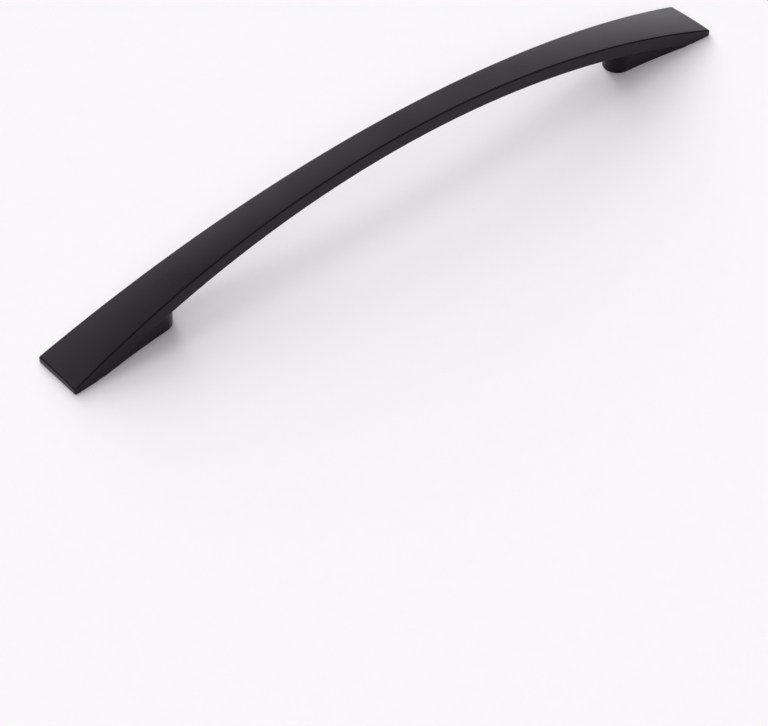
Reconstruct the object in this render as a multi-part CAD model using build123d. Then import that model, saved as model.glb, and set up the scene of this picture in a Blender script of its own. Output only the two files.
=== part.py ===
from build123d import *
import math
import os

# Bow handle for a cabinet door or drawer: one zinc die casting, screwed on from behind the front.
# Millimetres. The origin lies on the mounting plane, midway between the two screw holes.
# X runs along the handle, and Z points out of the cabinet to the crown of the bow.

# The bow, a bent strip that is waisted in plan, with a slight crown across its top
hole_spacing = 160.0
tip_overhang = 29.5
projection = 21.5
tip_height = 2.0
bow_thickness = 4.1
crown_radius = 140.0
middle_width = 8.4
end_width = 15.2
bow_edge_radius = 0.45

# The two feet, round about the hole at the inner end and flaring out to the bow's sides
foot_end_radius = 4.1
foot_flare_angle = 5.0
foot_flare_length = 20.0
foot_side_step = 0.15
foot_draft_angle = 3.0
foot_edge_radius = 0.25

# The tapped hole in each foot, drawn at the thread's outer diameter
thread_diameter = 4.0
hole_cover = 2.6
hole_mouth_chamfer = 0.4

# Places that follow from the sizes above
hole_x = hole_spacing / 2
half_length = hole_x + tip_overhang
bow_rise = projection - tip_height
outer_radius = (half_length**2 + bow_rise**2) / (2 * bow_rise)
inner_radius = outer_radius - bow_thickness
bow_centre_z = projection - outer_radius


def bow_half_width(x):
    """Half the bow's width in plan at a distance x from the middle, on the arc of its waisted side."""
    waist = (end_width - middle_width) / 2
    side_radius = (half_length**2 + waist**2) / (2 * waist)
    return middle_width / 2 + side_radius - math.sqrt(side_radius**2 - x**2)


def bow_disc(radius):
    """A disc about the axis that the bow is bent around, thick enough to span the bow's width."""
    face = Plane.XZ * Pos(0, bow_centre_z) * Circle(radius)
    return extrude(face, amount=end_width, both=True)


def crowned_disc():
    """The disc inside the bow's top face: its rim is an arc across the bow's width."""
    rim_drop = crown_radius - math.sqrt(crown_radius**2 - end_width**2)
    foot_of_rim = bow_centre_z - outer_radius
    with BuildSketch(Plane.YZ) as half_section:
        with BuildLine():
            rim = ThreePointArc(
                (-end_width, foot_of_rim + rim_drop),
                (0, foot_of_rim),
                (end_width, foot_of_rim + rim_drop),
            )
            Polyline(rim @ 1, (end_width, bow_centre_z), (-end_width, bow_centre_z), rim @ 0)
        make_face()
    return revolve(half_section.sketch, Axis((0, 0, bow_centre_z), (0, 1, 0)))


def waisted_outline(side_step=0.0):
    """Plan view of the bow, waisted towards the middle, with each side drawn in by a step."""
    half_end = end_width / 2 - side_step
    half_middle = middle_width / 2 - side_step
    with BuildSketch() as plan_view:
        with BuildLine():
            ThreePointArc((-half_length, half_end), (0, half_middle), (half_length, half_end))
            Line((half_length, half_end), (half_length, -half_end))
            ThreePointArc((half_length, -half_end), (0, -half_middle), (-half_length, -half_end))
            Line((-half_length, -half_end), (-half_length, half_end))
        make_face()
    return plan_view.sketch


def make_bow():
    """The bent strip with softened edges, its thin ends cut flat by the mounting plane."""
    ring = crowned_disc() - bow_disc(inner_radius)
    strip = ring & extrude(waisted_outline(), amount=2 * projection, both=True)
    strip = fillet(strip.edges(), bow_edge_radius)
    strip = split(strip, bisect_by=Plane.XY, keep=Keep.TOP)
    mounting_edges = strip.edges().group_by(Axis.Z)[0]
    cross_lines = mounting_edges.filter_by(Axis.Y)
    landing_lines = cross_lines.sort_by(lambda edge: abs(edge.center().X))[:2]
    return fillet(mounting_edges - landing_lines, foot_edge_radius)


def foot_outline():
    """Plan view of the right foot: a round end about the hole, and sides that flare out past the bow's."""
    flare = math.radians(foot_flare_angle)
    flare_start = (hole_x - foot_end_radius * math.sin(flare), foot_end_radius * math.cos(flare))
    flare_direction = (math.cos(flare), math.sin(flare))
    flare_x = hole_x + foot_flare_length
    flare_end = (flare_x, bow_half_width(flare_x) - foot_side_step)
    landing_x = math.sqrt(inner_radius**2 - bow_centre_z**2)
    runout_x = (landing_x + half_length) / 2
    with BuildSketch() as base_view:
        with BuildLine() as outline:
            RadiusArc((hole_x - foot_end_radius, 0), flare_start, foot_end_radius)
            side = TangentArc(flare_start, flare_end, tangent=flare_direction)
            slope = side % 1
            runout = Line(flare_end, (runout_x, flare_end[1] + (runout_x - flare_x) * slope.Y / slope.X))
            Line(runout @ 1, (runout_x, 0))
            mirror(outline.line, about=Plane.XZ)
        make_face()
    return base_view.sketch


def make_foot():
    """The right foot, drafted wider towards the bow, kept within the bow's sides and ending inside it."""
    post = extrude(foot_outline(), amount=projection, taper=-foot_draft_angle)
    sole = post.faces().sort_by(Axis.Z)[0]
    post = fillet(sole.edges(), foot_edge_radius)
    bow_sides = extrude(waisted_outline(foot_side_step), amount=projection)
    return post & bow_sides & bow_disc(outer_radius - bow_thickness / 2)


def make_hole():
    """The blind hole in the right foot, with a chamfered mouth."""
    hole_radius = thread_diameter / 2
    mouth_radius = hole_radius + hole_mouth_chamfer
    bow_top = bow_centre_z + math.sqrt(outer_radius**2 - hole_x**2)
    hole_end = bow_top - hole_cover
    with BuildSketch(Plane.XZ) as half_section:
        with BuildLine():
            Polyline(
                (0, 0),
                (mouth_radius, 0),
                (hole_radius, hole_mouth_chamfer),
                (hole_radius, hole_end),
                (0, hole_end),
                close=True,
            )
        make_face()
    return Pos(hole_x) * revolve(half_section.sketch, Axis.Z)


def make_handle():
    """The whole casting: the bow, its two feet and the hole in each."""
    foot = make_foot()
    casting = make_bow() + foot + mirror(foot, about=Plane.YZ)
    hole = make_hole()
    return casting - hole - mirror(hole, about=Plane.YZ)


os.makedirs("parts", exist_ok=True)
export_step(make_handle(), "parts/bow_handle.step")
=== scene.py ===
"""Shapes the casting of a bow handle, coats it, cuts its threads and sets it on a plain studio stage."""

import math

import bmesh
import bpy
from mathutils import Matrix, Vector


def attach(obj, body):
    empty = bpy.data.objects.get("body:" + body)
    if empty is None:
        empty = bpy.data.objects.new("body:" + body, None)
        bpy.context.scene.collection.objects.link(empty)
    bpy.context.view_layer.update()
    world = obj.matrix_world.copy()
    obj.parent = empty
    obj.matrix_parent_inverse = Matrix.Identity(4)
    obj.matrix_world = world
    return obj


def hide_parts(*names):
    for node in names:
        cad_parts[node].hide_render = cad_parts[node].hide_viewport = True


bl_info = {
    "name": "Bow handle looks",
    "version": (1, 0, 0),
    "blender": (4, 5, 0),
    "location": "3D View > Sidebar > Handle",
    "description": "Shapes and coats a cast bow handle and sets it on a plain studio stage",
    "category": "Object",
}

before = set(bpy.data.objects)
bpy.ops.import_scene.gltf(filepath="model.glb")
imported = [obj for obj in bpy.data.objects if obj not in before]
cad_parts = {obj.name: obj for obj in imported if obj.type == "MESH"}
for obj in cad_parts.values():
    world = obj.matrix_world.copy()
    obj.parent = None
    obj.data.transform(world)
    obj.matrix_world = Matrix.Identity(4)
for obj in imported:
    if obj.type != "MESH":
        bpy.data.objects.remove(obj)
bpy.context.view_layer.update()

CASTING_NODE = "bow_handle"
CASTING_PIECE = "casting"
COATING_MATERIAL = "black_powder_coat"

# A length too small to see, for telling places apart
SMALL = 0.000001

# The bow's sides run straight between stations, so a place on them may be this far inside their arc
SIDE_SLACK = 0.00003

# Edges between facets that turn by more than this stay sharp
SHARP_ANGLE = math.radians(32.0)

# How much more a large facet counts than a small one in the shading
FACET_WEIGHT = 80

# Below one, it crowds the points of a foot's sides towards the tip
FOOT_SPACING = 0.8

# The part of a noise's range that holds nearly all of its values
NOISE_LOW = 0.3
NOISE_HIGH = 0.7

# How many finer layers each noise has
GRAIN_DETAIL = 3.0
CLOUD_DETAIL = 4.0
FIBRE_DETAIL = 5.0

# The section of a thread's ridge is a trapezium
RIDGE_SIDES = 4

# Soft patches of light in the sky: azimuth and elevation in degrees, sharpness and strength
SKY_PATCHES = {
    "back_right_horizon": (40.0, 3.0, 40.0, 2.1),
    "back_horizon": (60.0, 3.0, 40.0, 10.4),
    "back_low": (70.0, 18.0, 40.0, 9.3),
    "right_middle": (26.0, 35.0, 40.0, 1.7),
    "back_middle": (77.0, 35.0, 40.0, 4.0),
    "back_left_middle": (103.0, 35.0, 40.0, 2.3),
    "left_middle": (-154.0, 35.0, 40.0, 2.6),
    "front_left_middle": (-129.0, 35.0, 40.0, 4.6),
    "back_right_high": (36.0, 52.0, 30.0, 0.8),
    "back_left_high": (144.0, 52.0, 30.0, 4.8),
    "overhead_right": (0.0, 71.0, 20.0, 1.1),
    "overhead_front": (-60.0, 71.0, 20.0, 1.0),
}


class CastingSettings(bpy.types.PropertyGroup):
    """The sizes of the casting."""

    hole_spacing: bpy.props.FloatProperty(
        name="Hole spacing", description="Distance between the holes", unit="LENGTH", default=0.16
    )
    half_length: bpy.props.FloatProperty(
        name="Half length", description="From the middle to a tip", unit="LENGTH", default=0.1095
    )
    projection: bpy.props.FloatProperty(
        name="Projection", description="Height over the cabinet front", unit="LENGTH", default=0.021473
    )
    tip_height: bpy.props.FloatProperty(
        name="Tip height", description="Height of the end faces", unit="LENGTH", default=0.002
    )
    thickness: bpy.props.FloatProperty(
        name="Thickness", description="Thickness of the bow", unit="LENGTH", default=0.0041
    )
    crown_radius: bpy.props.FloatProperty(
        name="Crown radius", description="Radius of the crown across the top", unit="LENGTH", default=0.14
    )
    middle_width: bpy.props.FloatProperty(
        name="Middle width", description="Width of the bow at its waist", unit="LENGTH", default=0.0084
    )
    end_width: bpy.props.FloatProperty(
        name="End width", description="Width of the bow at its tips", unit="LENGTH", default=0.01518
    )
    edge_radius: bpy.props.FloatProperty(
        name="Edge radius", description="Softening of the upper edges", unit="LENGTH", default=0.00045
    )
    lower_edge_radius: bpy.props.FloatProperty(
        name="Lower edge radius", description="Softening of the lower edges", unit="LENGTH", default=0.0002
    )
    sole_edge_radius: bpy.props.FloatProperty(
        name="Sole edge radius", description="Softening of the mounting edges", unit="LENGTH", default=0.00025
    )
    foot_end_radius: bpy.props.FloatProperty(
        name="Foot end radius", description="Radius of a foot's round end", unit="LENGTH", default=0.0041
    )
    foot_flare: bpy.props.FloatProperty(
        name="Foot flare",
        description="Angle at which a foot's sides start to widen",
        unit="ROTATION",
        default=math.radians(5.0),
    )
    foot_flare_length: bpy.props.FloatProperty(
        name="Foot flare length",
        description="From the hole to where a foot is as wide as the bow",
        unit="LENGTH",
        default=0.02,
    )
    foot_side_step: bpy.props.FloatProperty(
        name="Foot side step",
        description="How far a foot stands in from the bow's side",
        unit="LENGTH",
        default=0.00015,
    )
    foot_draft: bpy.props.FloatProperty(
        name="Foot draft", description="Lean of a foot's sides", unit="ROTATION", default=math.radians(3.0)
    )
    hole_cover: bpy.props.FloatProperty(
        name="Hole cover", description="Metal left over the end of a hole", unit="LENGTH", default=0.0026
    )
    hole_mouth_chamfer: bpy.props.FloatProperty(
        name="Mouth chamfer", description="Chamfer at the mouth of a hole", unit="LENGTH", default=0.0004
    )
    end_overshoot: bpy.props.FloatProperty(
        name="End overshoot", description="Share by which the strip is bent too long", default=0.035, min=0.0
    )
    stations: bpy.props.IntProperty(name="Stations", description="Facets along the bow", default=44, min=8)
    top_columns: bpy.props.IntProperty(name="Columns", description="Facets across the top", default=12, min=2)
    edge_facets: bpy.props.IntProperty(
        name="Edge facets", description="Facets in the rounding of the bow's long edges", default=6, min=1
    )
    tip_facets: bpy.props.IntProperty(
        name="Tip facets", description="Facets in the rounding of the tips' edges", default=4, min=1
    )
    sole_facets: bpy.props.IntProperty(
        name="Sole facets", description="Facets in the rounding of a foot's mounting edge", default=3, min=1
    )
    foot_facets: bpy.props.IntProperty(
        name="Foot facets", description="Facets round the wall of a foot", default=96, min=8
    )
    hole_facets: bpy.props.IntProperty(
        name="Hole facets", description="Facets round the wall of a hole", default=64, min=8
    )


class CoatingSettings(bpy.types.PropertyGroup):
    """The powder coat on the casting."""

    colour: bpy.props.FloatVectorProperty(
        name="Colour", description="Mean colour", subtype="COLOR", default=(0.0073, 0.0053, 0.0073)
    )
    mottle: bpy.props.FloatProperty(
        name="Mottle", description="How far the colour strays from its mean", default=0.12, min=0.0, max=1.0
    )
    roughness: bpy.props.FloatProperty(
        name="Roughness", description="Mean roughness of the coat", default=0.3, min=0.0, max=1.0
    )
    roughness_spread: bpy.props.FloatProperty(
        name="Roughness spread", description="How far the roughness strays", default=0.03, min=0.0
    )
    cloud_size: bpy.props.FloatProperty(
        name="Cloud size", description="Width of a rougher patch", unit="LENGTH", default=0.016, min=0.001
    )
    reflection_index: bpy.props.FloatProperty(
        name="Index", description="Index of refraction of the coat's surface", default=1.27, min=1.0, max=2.0
    )
    grain_size: bpy.props.FloatProperty(
        name="Grain size", description="Width of one grain", unit="LENGTH", default=0.0004, min=0.00001
    )
    grain_depth: bpy.props.FloatProperty(
        name="Grain depth", description="Height of the coat's grain", unit="LENGTH", default=0.000006, min=0.0
    )


class ThreadSettings(bpy.types.PropertyGroup):
    """The thread tapped into each foot."""

    outer_radius: bpy.props.FloatProperty(
        name="Outer radius", description="Radius of the hole's plain wall", unit="LENGTH", default=0.002
    )
    inner_radius: bpy.props.FloatProperty(
        name="Inner radius", description="Radius at the ridge's crest", unit="LENGTH", default=0.00165
    )
    pitch: bpy.props.FloatProperty(
        name="Pitch", description="Rise of the ridge in one turn", unit="LENGTH", default=0.0007
    )
    crest_share: bpy.props.FloatProperty(
        name="Crest share", description="Width of the crest as a share of the ridge's foot", default=0.3
    )
    ridge_share: bpy.props.FloatProperty(
        name="Ridge share", description="Width of the ridge's foot as a share of the pitch", default=0.85
    )
    wall_overlap: bpy.props.FloatProperty(
        name="Wall overlap",
        description="How far the ridge's foot reaches into the wall, so that no slit shows",
        unit="LENGTH",
        default=0.00002,
    )
    first_turn: bpy.props.FloatProperty(
        name="First turn",
        description="Height of the first turn over the mounting plane",
        unit="LENGTH",
        default=0.00076,
    )
    turns: bpy.props.IntProperty(name="Turns", description="Number of turns in each hole", default=10, min=1)
    steps: bpy.props.IntProperty(name="Steps", description="Facets in one turn", default=40, min=8)


class StageSettings(bpy.types.PropertyGroup):
    """The floor, the light and the camera."""

    floor_colour: bpy.props.FloatVectorProperty(
        name="Floor colour", description="Colour of the floor", subtype="COLOR", default=(0.9, 0.9, 0.9)
    )
    floor_width: bpy.props.FloatProperty(
        name="Floor width", description="Width of the floor", unit="LENGTH", default=6.0
    )
    floor_mottle: bpy.props.FloatProperty(
        name="Floor mottle", description="How far the floor's colour strays", default=0.004, min=0.0, max=1.0
    )
    fibre_size: bpy.props.FloatProperty(
        name="Fibre size", description="Width of a blot", unit="LENGTH", default=0.004, min=0.0001
    )
    light_colour: bpy.props.FloatVectorProperty(
        name="Light colour",
        description="Colour of the light",
        subtype="COLOR",
        default=(1.01, 0.98, 1.01),
        max=2.0,
    )
    backdrop_colour: bpy.props.FloatVectorProperty(
        name="Backdrop", description="What shows past the floor", subtype="COLOR", default=(0.98, 0.955, 0.98)
    )
    camera_place: bpy.props.FloatVectorProperty(
        name="Camera place",
        description="Where the camera stands",
        subtype="TRANSLATION",
        unit="LENGTH",
        default=(-0.30514, -0.34339, 0.38722),
    )
    camera_turn: bpy.props.FloatVectorProperty(
        name="Camera turn",
        description="The camera's tilt up from straight down, its roll and its heading",
        subtype="EULER",
        unit="ROTATION",
        default=(math.radians(45.434), math.radians(-0.153), math.radians(-40.95)),
    )
    camera_lens: bpy.props.FloatProperty(
        name="Lens", description="Focal length in millimetres on a 36 mm sensor", default=107.12, min=1.0
    )
    camera_near: bpy.props.FloatProperty(
        name="Nearest", description="Nearest place that the camera sees", unit="LENGTH", default=0.01
    )


def select_where(piece, test):
    """Selects those vertices of the piece, open in edit mode, whose place passes the test."""
    bpy.ops.mesh.select_all(action="DESELECT")
    mesh = bmesh.from_edit_mesh(piece.data)
    for vertex in mesh.verts:
        vertex.select_set(test(vertex.co))
    mesh.select_flush(True)
    bmesh.update_edit_mesh(piece.data)


def add_node(tree, kind, **values):
    """Adds a node to the tree and sets the values given by name."""
    node = tree.nodes.new(kind)
    for name, value in values.items():
        setattr(node, name, value)
    return node


def mottle_group():
    """Builds the mottle that the coat and the floor share, or finds it if it is there already."""
    group = bpy.data.node_groups.get("soft_mottle")
    if group:
        return group
    group = bpy.data.node_groups.new("soft_mottle", "ShaderNodeTree")
    group.interface.new_socket("Vector", in_out="INPUT", socket_type="NodeSocketVector")
    group.interface.new_socket("Mean Colour", in_out="INPUT", socket_type="NodeSocketColor")
    for name in ("Scale", "Detail", "Low", "High"):
        group.interface.new_socket(name, in_out="INPUT", socket_type="NodeSocketFloat")
    group.interface.new_socket("Colour", in_out="OUTPUT", socket_type="NodeSocketColor")
    for name in ("Noise", "Mottle"):
        group.interface.new_socket(name, in_out="OUTPUT", socket_type="NodeSocketFloat")
    given = add_node(group, "NodeGroupInput")
    result = add_node(group, "NodeGroupOutput")
    noise = add_node(group, "ShaderNodeTexNoise")
    for name in ("Vector", "Scale", "Detail"):
        group.links.new(given.outputs[name], noise.inputs[name])
    spread = add_node(group, "ShaderNodeMapRange")
    spread.inputs["From Min"].default_value = NOISE_LOW
    spread.inputs["From Max"].default_value = NOISE_HIGH
    group.links.new(noise.outputs["Fac"], spread.inputs["Value"])
    group.links.new(given.outputs["Low"], spread.inputs["To Min"])
    group.links.new(given.outputs["High"], spread.inputs["To Max"])
    tint = add_node(group, "ShaderNodeVectorMath", operation="SCALE")
    group.links.new(given.outputs["Mean Colour"], tint.inputs["Vector"])
    group.links.new(spread.outputs["Result"], tint.inputs["Scale"])
    group.links.new(tint.outputs["Vector"], result.inputs["Colour"])
    group.links.new(noise.outputs["Fac"], result.inputs["Noise"])
    group.links.new(spread.outputs["Result"], result.inputs["Mottle"])
    return group


def add_mottle(tree, size, detail, low, high):
    """Places the mottle in a material, with blots about as wide as the size, to run from low to high."""
    mottle = add_node(tree, "ShaderNodeGroup", node_tree=mottle_group())
    mottle.inputs["Scale"].default_value = 1.0 / size
    mottle.inputs["Detail"].default_value = detail
    mottle.inputs["Low"].default_value = low
    mottle.inputs["High"].default_value = high
    coordinates = add_node(tree, "ShaderNodeTexCoord")
    tree.links.new(coordinates.outputs["Object"], mottle.inputs["Vector"])
    return mottle


def add_tint(tree, size, detail, colour, spread):
    """Lets the shader's colour stray from its mean by the spread, in blots, and gives the mottle back."""
    mottle = add_mottle(tree, size, detail, low=1.0 - spread, high=1.0 + spread)
    mottle.inputs["Mean Colour"].default_value = (*colour, 1.0)
    tree.links.new(mottle.outputs["Colour"], tree.nodes["Principled BSDF"].inputs["Base Color"])
    return mottle


def bow_arc(sizes):
    """Radius of the arc along the bow's top, and the height of its centre."""
    rise = sizes.projection - sizes.tip_height
    radius = (sizes.half_length**2 + rise**2) / (2 * rise)
    return radius, sizes.projection - radius


def bow_half_width(sizes, x):
    """Half the bow's width in plan at a distance x from the middle, on the arc of its waisted side."""
    waist = (sizes.end_width - sizes.middle_width) / 2
    side_radius = (sizes.half_length**2 + waist**2) / (2 * waist)
    return sizes.middle_width / 2 + side_radius - math.sqrt(side_radius**2 - x**2)


def foot_half_width(sizes, x):
    """Half a foot's width on the mounting plane, from where its round end runs into its flaring sides."""
    start = foot_side_start(sizes)
    length = sizes.hole_spacing / 2 + sizes.foot_flare_length - start
    slope = math.tan(sizes.foot_flare)
    start_width = sizes.foot_end_radius * math.cos(sizes.foot_flare)
    end_width = bow_half_width(sizes, start + length) - sizes.foot_side_step
    widening = (end_width - start_width - slope * length) / length**2
    along = x - start
    flared = start_width + slope * along + widening * along**2
    return min(flared, bow_half_width(sizes, x) - sizes.foot_side_step)


def foot_side_start(sizes):
    """Where along the handle a foot's round end runs into its sides."""
    return sizes.hole_spacing / 2 - sizes.foot_end_radius * math.sin(sizes.foot_flare)


def activate(context, piece):
    """Selects the piece alone and makes it the active one."""
    bpy.ops.object.select_all(action="DESELECT")
    piece.select_set(True)
    context.view_layer.objects.active = piece


class HANDLE_OT_shape_casting(bpy.types.Operator):
    """Shapes the casting: the crowned bow, its two feet and the hole in each"""

    bl_idname = "handle.shape_casting"
    bl_label = "Shape casting"

    def execute(self, context):
        sizes = context.scene.handle_casting
        casting = self.bend_bow(context, sizes)
        for shape, operation in ((self.raise_foot, "UNION"), (self.turn_hole, "DIFFERENCE")):
            right_piece = shape(context, sizes)
            activate(context, right_piece)
            bpy.ops.object.duplicate()
            left_piece = context.object
            bpy.ops.object.mode_set(mode="EDIT")
            bpy.ops.mesh.select_all(action="SELECT")
            bpy.ops.transform.resize(value=(-1.0, 1.0, 1.0), center_override=(0.0, 0.0, 0.0))
            bpy.ops.mesh.normals_make_consistent(inside=False)
            bpy.ops.object.mode_set(mode="OBJECT")
            for piece in (right_piece, left_piece):
                self.combine(context, casting, piece, operation)
        bpy.ops.object.mode_set(mode="EDIT")
        self.trim_soles(casting, sizes)
        bpy.ops.mesh.select_all(action="SELECT")
        bpy.ops.mesh.remove_doubles(threshold=SMALL)
        bpy.ops.mesh.normals_make_consistent(inside=False)
        bpy.ops.object.mode_set(mode="OBJECT")
        bpy.ops.object.shade_smooth_by_angle(angle=SHARP_ANGLE)
        bpy.ops.object.modifier_add(type="WEIGHTED_NORMAL")
        weighting = casting.modifiers[-1]
        weighting.keep_sharp = True
        weighting.weight = FACET_WEIGHT
        bpy.ops.object.modifier_apply(modifier=weighting.name)
        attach(casting, "root")
        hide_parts(CASTING_NODE)
        return {"FINISHED"}

    def trim_soles(self, casting, sizes):
        """Draws in what sticks out past the rounding of the mounting edges."""
        radius = sizes.sole_edge_radius
        mesh = bmesh.from_edit_mesh(casting.data)
        for vertex in mesh.verts:
            below = radius - max(vertex.co.z, 0.0)
            if below > 0.0:
                sole_half_width = bow_half_width(sizes, vertex.co.x) - radius
                widest = sole_half_width + math.sqrt(radius**2 - below**2)
                vertex.co.y = math.copysign(min(abs(vertex.co.y), widest), vertex.co.y)
        bmesh.update_edit_mesh(casting.data)

    def combine(self, context, casting, piece, operation):
        """Joins the piece to the casting, or cuts it out."""
        activate(context, casting)
        bpy.ops.object.modifier_add(type="BOOLEAN")
        step = casting.modifiers[-1]
        step.operation = operation
        step.solver = "EXACT"
        step.object = piece
        bpy.ops.object.modifier_apply(modifier=step.name)
        bpy.data.objects.remove(piece)

    def bend_bow(self, context, sizes):
        """Spins a rounded section along the arc, draws its sides in to the waist and cuts its tips."""
        radius, centre = bow_arc(sizes)
        centre_place = (0.0, 0.0, centre)
        flat_end = sizes.end_width / 2 - sizes.edge_radius
        sweep = (1 + sizes.end_overshoot) * math.asin(sizes.half_length / radius)
        bpy.ops.object.select_all(action="DESELECT")
        bpy.ops.mesh.primitive_plane_add(size=1.0)
        casting = context.object
        casting.name = CASTING_PIECE
        bpy.ops.object.mode_set(mode="EDIT")
        bpy.ops.transform.rotate(value=math.pi / 2, orient_axis="Y", center_override=(0.0, 0.0, 0.0))
        bpy.ops.transform.resize(value=(1.0, sizes.end_width, sizes.thickness))
        middle = sizes.projection - sizes.thickness / 2
        bpy.ops.transform.translate(value=(0.0, 0.0, middle))
        for edge_radius, at_corner in (
            (sizes.edge_radius, lambda place: place.z > middle),
            (sizes.lower_edge_radius, lambda place: place.z < middle),
        ):
            select_where(casting, at_corner)
            bpy.ops.mesh.bevel(offset=edge_radius, segments=sizes.edge_facets, affect="VERTICES")
        select_where(casting, lambda place: place.z > sizes.projection - SMALL)
        bpy.ops.mesh.subdivide(number_cuts=sizes.top_columns - 1)
        bpy.ops.mesh.select_all(action="SELECT")
        bpy.ops.mesh.delete(type="ONLY_FACE")
        bpy.ops.mesh.select_all(action="SELECT")
        bpy.ops.transform.rotate(value=-sweep, orient_axis="Y", center_override=centre_place)
        bpy.ops.mesh.spin(steps=sizes.stations, angle=2 * sweep, center=centre_place, axis=(0.0, 1.0, 0.0))
        mesh = bmesh.from_edit_mesh(casting.data)
        for vertex in mesh.verts:
            place = vertex.co
            half_width = bow_half_width(sizes, place.x)
            flat_half = half_width - sizes.edge_radius
            reach = abs(place.y)
            inner = min(reach, flat_end) * flat_half / flat_end
            place.y = math.copysign(inner + max(reach - flat_end, 0.0), place.y)
            arm = Vector((place.x, 0.0, place.z - centre))
            if arm.length > radius - sizes.thickness / 2:
                drop = sizes.crown_radius - math.sqrt(sizes.crown_radius**2 - inner**2)
                arm *= (arm.length - drop) / arm.length
                place.x = arm.x
                place.z = centre + arm.z
        bmesh.update_edit_mesh(casting.data)
        for place, normal in (
            ((sizes.half_length, 0.0, 0.0), (1.0, 0.0, 0.0)),
            ((-sizes.half_length, 0.0, 0.0), (-1.0, 0.0, 0.0)),
            ((0.0, 0.0, 0.0), (0.0, 0.0, -1.0)),
        ):
            bpy.ops.mesh.select_all(action="SELECT")
            bpy.ops.mesh.bisect(
                plane_co=place, plane_no=normal, use_fill=True, clear_outer=True, threshold=SMALL / 10
            )
        bpy.ops.mesh.select_all(action="SELECT")
        bpy.ops.mesh.normals_make_consistent(inside=False)
        self.soften_tips(casting, sizes)
        bpy.ops.object.mode_set(mode="OBJECT")
        return casting

    def soften_tips(self, casting, sizes):
        """Rounds the edges of the end faces, and the mounting edges of the tips."""
        tip = sizes.half_length - SMALL
        corner = tip - sizes.edge_radius

        def on_end_face(place):
            return abs(place.x) > tip

        def on_sole_edge(place):
            beside = abs(place.y) > bow_half_width(sizes, place.x) - SIDE_SLACK
            return place.z < SMALL and (beside or abs(place.x) > corner)

        bpy.ops.mesh.select_mode(type="EDGE")
        for radius, on_edge, lowest in (
            (sizes.edge_radius, on_end_face, SMALL),
            (sizes.sole_edge_radius, on_sole_edge, -SMALL),
        ):
            bpy.ops.mesh.select_all(action="DESELECT")
            mesh = bmesh.from_edit_mesh(casting.data)
            for edge in mesh.edges:
                ends = [vertex.co for vertex in edge.verts]
                edge.select_set(all(map(on_edge, ends)) and max(end.z for end in ends) > lowest)
            bmesh.update_edit_mesh(casting.data)
            bpy.ops.mesh.bevel(offset=radius, segments=sizes.tip_facets, affect="EDGES")
        bpy.ops.mesh.select_mode(type="VERT")

    def raise_foot(self, context, sizes):
        """Draws the right foot's outline, leans its sides out up to the bow and rounds its mounting edge."""
        radius, centre = bow_arc(sizes)
        hole_x = sizes.hole_spacing / 2
        landing = math.sqrt((radius - sizes.thickness) ** 2 - centre**2)
        runout = (landing + sizes.half_length) / 2
        start = foot_side_start(sizes)
        bpy.ops.object.select_all(action="DESELECT")
        bpy.ops.mesh.primitive_circle_add(
            vertices=sizes.foot_facets, radius=sizes.foot_end_radius, fill_type="NGON"
        )
        foot = context.object
        foot.name = "foot"
        bpy.ops.object.mode_set(mode="EDIT")
        bpy.ops.transform.translate(value=(hole_x, 0.0, 0.0))
        mesh = bmesh.from_edit_mesh(foot.data)
        side_angle = math.pi / 2 + sizes.foot_flare
        for vertex in mesh.verts:
            angle = math.atan2(vertex.co.y, vertex.co.x - hole_x)
            share = 1.0 - abs(angle) / side_angle
            if share > 0.0:
                vertex.co.x = start + share**FOOT_SPACING * (runout - start)
                vertex.co.y = math.copysign(foot_half_width(sizes, vertex.co.x), angle)
        bmesh.update_edit_mesh(foot.data)
        bpy.ops.mesh.extrude_region_move(TRANSFORM_OT_translate={"value": (0.0, 0.0, sizes.projection)})
        mesh = bmesh.from_edit_mesh(foot.data)
        for vertex in mesh.verts:
            if vertex.co.z > 0.0:
                x = vertex.co.x
                height = centre + math.sqrt((radius - sizes.thickness / 2) ** 2 - x**2)
                lean = height * math.tan(sizes.foot_draft)
                if x < start:
                    away = Vector((x - hole_x, vertex.co.y, 0.0)).normalized()
                    vertex.co.x += lean * away.x
                    vertex.co.y += lean * away.y
                else:
                    widest = bow_half_width(sizes, x) - sizes.foot_side_step
                    vertex.co.y = math.copysign(min(abs(vertex.co.y) + lean, widest), vertex.co.y)
                vertex.co.z = height
        bmesh.update_edit_mesh(foot.data)
        bpy.ops.mesh.select_all(action="SELECT")
        bpy.ops.mesh.normals_make_consistent(inside=False)
        bpy.ops.mesh.select_mode(type="EDGE")
        select_where(foot, lambda place: place.z < SMALL and place.x < runout - SMALL)
        bpy.ops.mesh.bevel(offset=sizes.sole_edge_radius, segments=sizes.sole_facets, affect="EDGES")
        bpy.ops.mesh.select_mode(type="VERT")
        bpy.ops.object.mode_set(mode="OBJECT")
        return foot

    def turn_hole(self, context, sizes):
        """Makes the shape of the right hole, with its chamfered mouth."""
        radius, centre = bow_arc(sizes)
        hole_radius = context.scene.handle_threads.outer_radius
        hole_x = sizes.hole_spacing / 2
        chamfer = sizes.hole_mouth_chamfer
        end = centre + math.sqrt(radius**2 - hole_x**2) - sizes.hole_cover
        bpy.ops.object.select_all(action="DESELECT")
        bpy.ops.mesh.primitive_cylinder_add(
            vertices=sizes.hole_facets, radius=hole_radius, depth=end - chamfer
        )
        hole = context.object
        hole.name = "hole"
        bpy.ops.object.mode_set(mode="EDIT")
        bpy.ops.transform.translate(value=(hole_x, 0.0, (end + chamfer) / 2))
        select_where(hole, lambda place: place.z < chamfer + SMALL)
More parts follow.
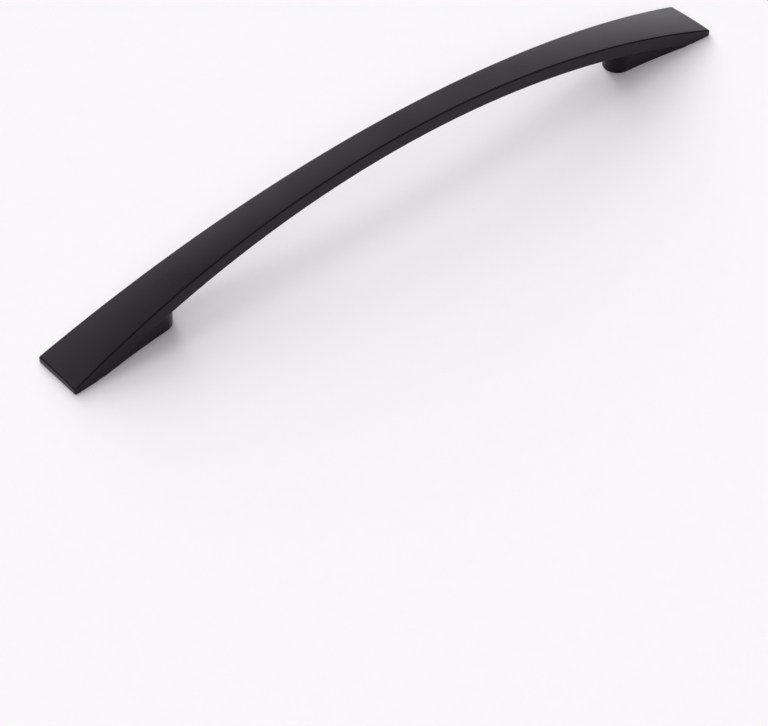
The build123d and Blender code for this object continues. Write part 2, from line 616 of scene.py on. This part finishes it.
        # The mouth's cone runs on below the mounting plane, so that it cuts the sole cleanly
        wider = (hole_radius + 2 * chamfer) / hole_radius
        bpy.ops.mesh.extrude_region_move(TRANSFORM_OT_translate={"value": (0.0, 0.0, -2 * chamfer)})
        bpy.ops.transform.resize(value=(wider, wider, 1.0), center_override=(hole_x, 0.0, 0.0))
        bpy.ops.mesh.select_all(action="SELECT")
        bpy.ops.mesh.normals_make_consistent(inside=False)
        bpy.ops.object.mode_set(mode="OBJECT")
        return hole


class HANDLE_OT_coat_casting(bpy.types.Operator):
    """Gives the casting its black powder coat"""

    bl_idname = "handle.coat_casting"
    bl_label = "Coat casting"

    def execute(self, context):
        settings = context.scene.handle_coating
        coat = bpy.data.materials.new(COATING_MATERIAL)
        coat.use_nodes = True
        tree = coat.node_tree
        shader = tree.nodes["Principled BSDF"]
        shader.inputs["IOR"].default_value = settings.reflection_index
        grain = add_tint(tree, settings.grain_size, GRAIN_DETAIL, settings.colour, settings.mottle)
        smoothest = settings.roughness - settings.roughness_spread
        roughest = settings.roughness + settings.roughness_spread
        clouds = add_mottle(tree, settings.cloud_size, CLOUD_DETAIL, smoothest, roughest)
        tree.links.new(clouds.outputs["Mottle"], shader.inputs["Roughness"])
        bump = add_node(tree, "ShaderNodeBump")
        bump.inputs["Distance"].default_value = settings.grain_depth
        tree.links.new(grain.outputs["Noise"], bump.inputs["Height"])
        tree.links.new(bump.outputs["Normal"], shader.inputs["Normal"])
        bpy.data.objects[CASTING_PIECE].data.materials.append(coat)
        return {"FINISHED"}


class HANDLE_OT_cut_threads(bpy.types.Operator):
    """Winds the ridge of a thread up the wall of each hole"""

    bl_idname = "handle.cut_threads"
    bl_label = "Cut threads"

    def execute(self, context):
        settings = context.scene.handle_threads
        hole_spacing = context.scene.handle_casting.hole_spacing
        foot_radius = settings.outer_radius + settings.wall_overlap
        depth = foot_radius - settings.inner_radius
        middle = (foot_radius + settings.inner_radius) / 2
        bpy.ops.object.select_all(action="DESELECT")
        bpy.ops.mesh.primitive_plane_add(size=1.0)
        right_thread = context.object
        right_thread.name = "thread_right"
        bpy.ops.object.mode_set(mode="EDIT")
        bpy.ops.transform.rotate(value=math.pi / 2, orient_axis="X", center_override=(0.0, 0.0, 0.0))
        bpy.ops.transform.resize(value=(depth, 1.0, settings.ridge_share * settings.pitch))
        bpy.ops.transform.translate(value=(middle, 0.0, settings.first_turn))
        select_where(right_thread, lambda place: place.x < middle)
        bpy.ops.transform.resize(value=(1.0, 1.0, settings.crest_share))
        bpy.ops.mesh.select_all(action="SELECT")
        bpy.ops.mesh.delete(type="ONLY_FACE")
        bpy.ops.object.mode_set(mode="OBJECT")
        bpy.ops.object.modifier_add(type="SCREW")
        winding = right_thread.modifiers[-1]
        winding.axis = "Z"
        winding.screw_offset = settings.pitch
        winding.iterations = settings.turns
        winding.steps = settings.steps
        winding.render_steps = settings.steps
        bpy.ops.object.modifier_apply(modifier=winding.name)
        bpy.ops.object.mode_set(mode="EDIT")
        bpy.ops.mesh.select_all(action="SELECT")
        bpy.ops.mesh.fill_holes(sides=RIDGE_SIDES)
        bpy.ops.mesh.normals_make_consistent(inside=False)
        bpy.ops.transform.translate(value=(hole_spacing / 2, 0.0, 0.0))
        bpy.ops.object.mode_set(mode="OBJECT")
        bpy.ops.object.shade_smooth_by_angle(angle=SHARP_ANGLE)
        right_thread.data.materials.append(bpy.data.materials[COATING_MATERIAL])
        bpy.ops.object.duplicate()
        left_thread = context.object
        left_thread.name = "thread_left"
        bpy.ops.object.mode_set(mode="EDIT")
        bpy.ops.mesh.select_all(action="SELECT")
        bpy.ops.transform.translate(value=(-hole_spacing, 0.0, 0.0))
        bpy.ops.object.mode_set(mode="OBJECT")
        for thread in (right_thread, left_thread):
            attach(thread, "root")
        return {"FINISHED"}


class HANDLE_OT_set_stage(bpy.types.Operator):
    """Sets the floor, the light and the camera"""

    bl_idname = "handle.set_stage"
    bl_label = "Set stage"

    def execute(self, context):
        self.lay_floor(context)
        self.light_sky(context)
        self.place_camera(context)
        context.scene.view_settings.view_transform = "Standard"
        return {"FINISHED"}

    def lay_floor(self, context):
        """Lays a wide sheet of pale paper with a faint mottle."""
        settings = context.scene.handle_stage
        bpy.ops.object.select_all(action="DESELECT")
        bpy.ops.mesh.primitive_plane_add(size=settings.floor_width)
        floor = context.object
        floor.name = "studio_floor"
        paper = bpy.data.materials.new("floor_paper")
        paper.use_nodes = True
        tree = paper.node_tree
        shader = tree.nodes["Principled BSDF"]
        shader.inputs["Roughness"].default_value = 1.0
        shader.inputs["Specular IOR Level"].default_value = 0.0
        add_tint(tree, settings.fibre_size, FIBRE_DETAIL, settings.floor_colour, settings.floor_mottle)
        floor.data.materials.append(paper)

    def light_sky(self, context):
        """Lights the stage from a dark sky with soft bright patches in it."""
        settings = context.scene.handle_stage
        world = bpy.data.worlds.new("studio_world")
        world.use_nodes = True
        tree = world.node_tree
        direction = add_node(tree, "ShaderNodeTexCoord").outputs["Generated"]
        total = None
        for name, (azimuth, elevation, sharpness, strength) in SKY_PATCHES.items():
            turn = math.radians(azimuth)
            rise = math.radians(elevation)
            level = math.cos(rise)
            facing = add_node(tree, "ShaderNodeVectorMath", operation="DOT_PRODUCT", label=name)
            facing.inputs[1].default_value = (level * math.cos(turn), level * math.sin(turn), math.sin(rise))
            tree.links.new(direction, facing.inputs[0])
            front = add_node(tree, "ShaderNodeMath", operation="MAXIMUM")
            front.inputs[1].default_value = 0.0
            tree.links.new(facing.outputs["Value"], front.inputs[0])
            falloff = add_node(tree, "ShaderNodeMath", operation="POWER")
            falloff.inputs[1].default_value = sharpness
            tree.links.new(front.outputs["Value"], falloff.inputs[0])
            sum_up = add_node(tree, "ShaderNodeMath", operation="MULTIPLY_ADD")
            sum_up.inputs[1].default_value = strength
            tree.links.new(falloff.outputs["Value"], sum_up.inputs[0])
            sum_up.inputs[2].default_value = 0.0
            if total:
                tree.links.new(total, sum_up.inputs[2])
            total = sum_up.outputs["Value"]
        light = tree.nodes["Background"]
        light.inputs["Color"].default_value = (*settings.light_colour, 1.0)
        tree.links.new(total, light.inputs["Strength"])
        # The camera sees a plain pale backdrop past the edge of the floor
        backdrop = add_node(tree, "ShaderNodeBackground")
        backdrop.inputs["Color"].default_value = (*settings.backdrop_colour, 1.0)
        seen = add_node(tree, "ShaderNodeMixShader")
        rays = add_node(tree, "ShaderNodeLightPath")
        tree.links.new(rays.outputs["Is Camera Ray"], seen.inputs["Fac"])
        tree.links.new(light.outputs["Background"], seen.inputs[1])
        tree.links.new(backdrop.outputs["Background"], seen.inputs[2])
        tree.links.new(seen.outputs["Shader"], tree.nodes["World Output"].inputs["Surface"])
        context.scene.world = world

    def place_camera(self, context):
        """Stands the camera where the photo was taken from."""
        settings = context.scene.handle_stage
        bpy.ops.object.camera_add(location=settings.camera_place, rotation=settings.camera_turn)
        camera = context.object
        camera.name = "photo_camera"
        camera.data.lens = settings.camera_lens
        camera.data.clip_start = settings.camera_near
        context.scene.camera = camera


class HANDLE_PT_looks(bpy.types.Panel):
    """Lists the steps that make the handle and its stage, with their settings"""

    bl_idname = "HANDLE_PT_looks"
    bl_label = "Bow handle"
    bl_space_type = "VIEW_3D"
    bl_region_type = "UI"
    bl_category = "Handle"

    def draw(self, context):
        for operator, group in STEPS:
            box = self.layout.box()
            box.operator(operator)
            settings = getattr(context.scene, group)
            for name in settings.bl_rna.properties.keys():
                if name not in {"rna_type", "name"}:
                    box.prop(settings, name)


STEPS = (
    (HANDLE_OT_shape_casting.bl_idname, "handle_casting"),
    (HANDLE_OT_coat_casting.bl_idname, "handle_coating"),
    (HANDLE_OT_cut_threads.bl_idname, "handle_threads"),
    (HANDLE_OT_set_stage.bl_idname, "handle_stage"),
)

classes = (
    CastingSettings,
    CoatingSettings,
    ThreadSettings,
    StageSettings,
    HANDLE_OT_shape_casting,
    HANDLE_OT_coat_casting,
    HANDLE_OT_cut_threads,
    HANDLE_OT_set_stage,
    HANDLE_PT_looks,
)


def register():
    for cls in classes:
        bpy.utils.register_class(cls)
    bpy.types.Scene.handle_casting = bpy.props.PointerProperty(type=CastingSettings)
    bpy.types.Scene.handle_coating = bpy.props.PointerProperty(type=CoatingSettings)
    bpy.types.Scene.handle_threads = bpy.props.PointerProperty(type=ThreadSettings)
    bpy.types.Scene.handle_stage = bpy.props.PointerProperty(type=StageSettings)


def unregister():
    del bpy.types.Scene.handle_stage
    del bpy.types.Scene.handle_threads
    del bpy.types.Scene.handle_coating
    del bpy.types.Scene.handle_casting
    for cls in reversed(classes):
        bpy.utils.unregister_class(cls)


def main():
    register()
    bpy.ops.handle.shape_casting()
    bpy.ops.handle.coat_casting()
    bpy.ops.handle.cut_threads()
    bpy.ops.handle.set_stage()


if __name__ == "__main__":
    main()
